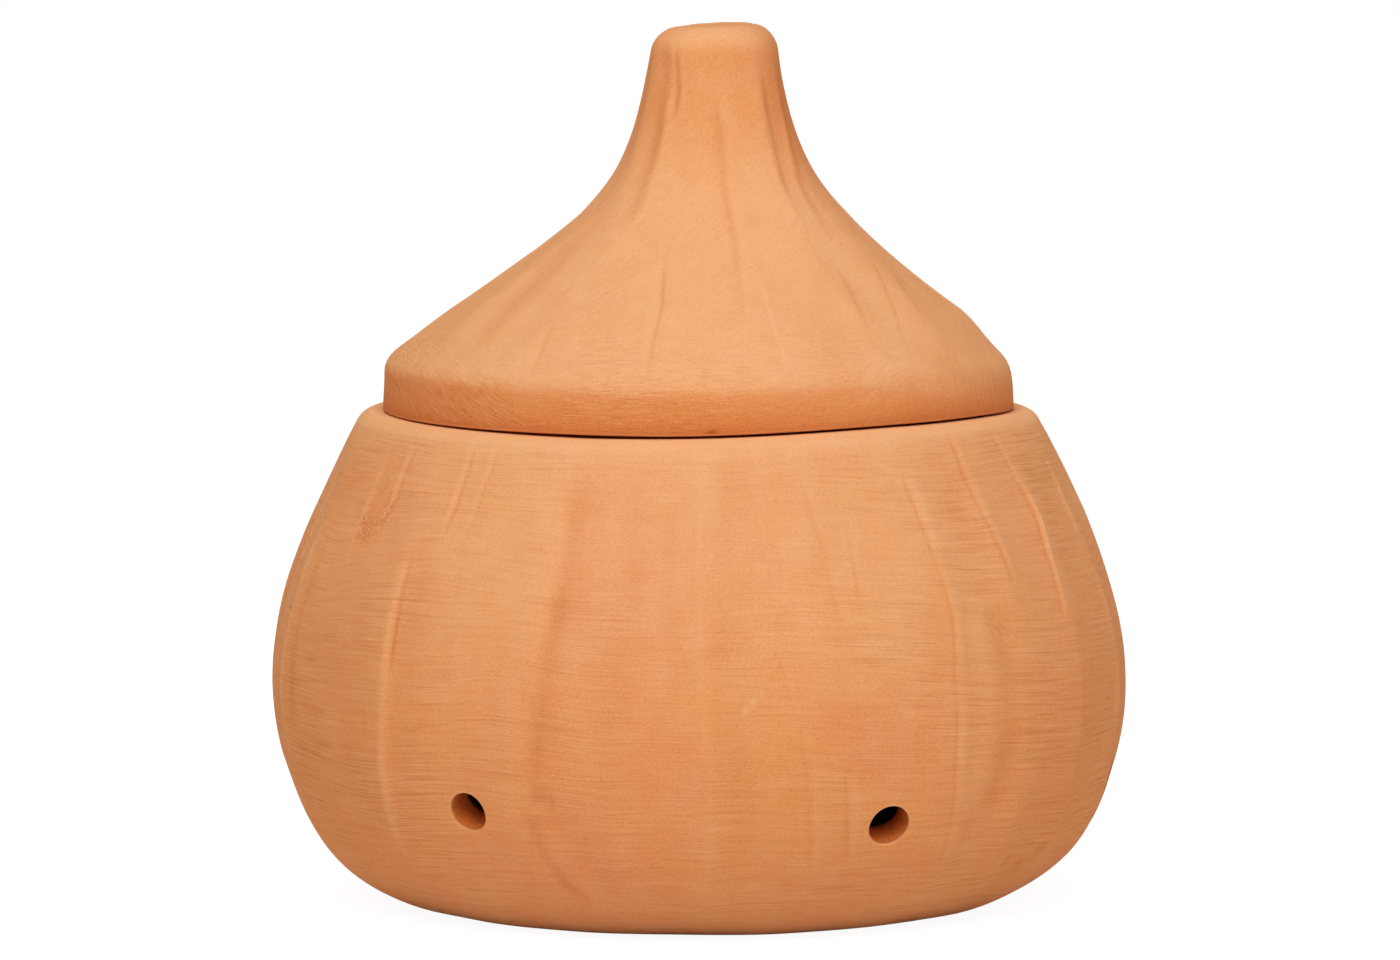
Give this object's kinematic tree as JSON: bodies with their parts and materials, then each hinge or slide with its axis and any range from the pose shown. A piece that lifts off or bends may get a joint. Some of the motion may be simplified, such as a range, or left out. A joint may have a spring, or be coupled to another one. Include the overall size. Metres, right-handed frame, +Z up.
{
  "type": "garlic keeper",
  "caption": "Bulb-shaped unglazed clay pot with vent holes low in its wall and a loose cone-shaped lid whose tapering stem is the handle.",
  "frame": {"origin": "centre of the foot, on the surface that the pot stands on", "axes": "+Z up along the pot's axis, -Y is the front"},
  "size_m": [0.1402, 0.1402, 0.1438],
  "materials": {
    "terracotta": "unglazed fired clay, matte, brushed"
  },
  "bodies": {
    "pot": {"pot": "terracotta"},
    "lid": {"lid": "terracotta"}
  },
  "joints": [
    {"name": "lid_lift", "type": "slide", "parent": "pot", "child": "lid", "axis": [0, 0, 1], "range_m": [0, 0.1]}
  ]
}
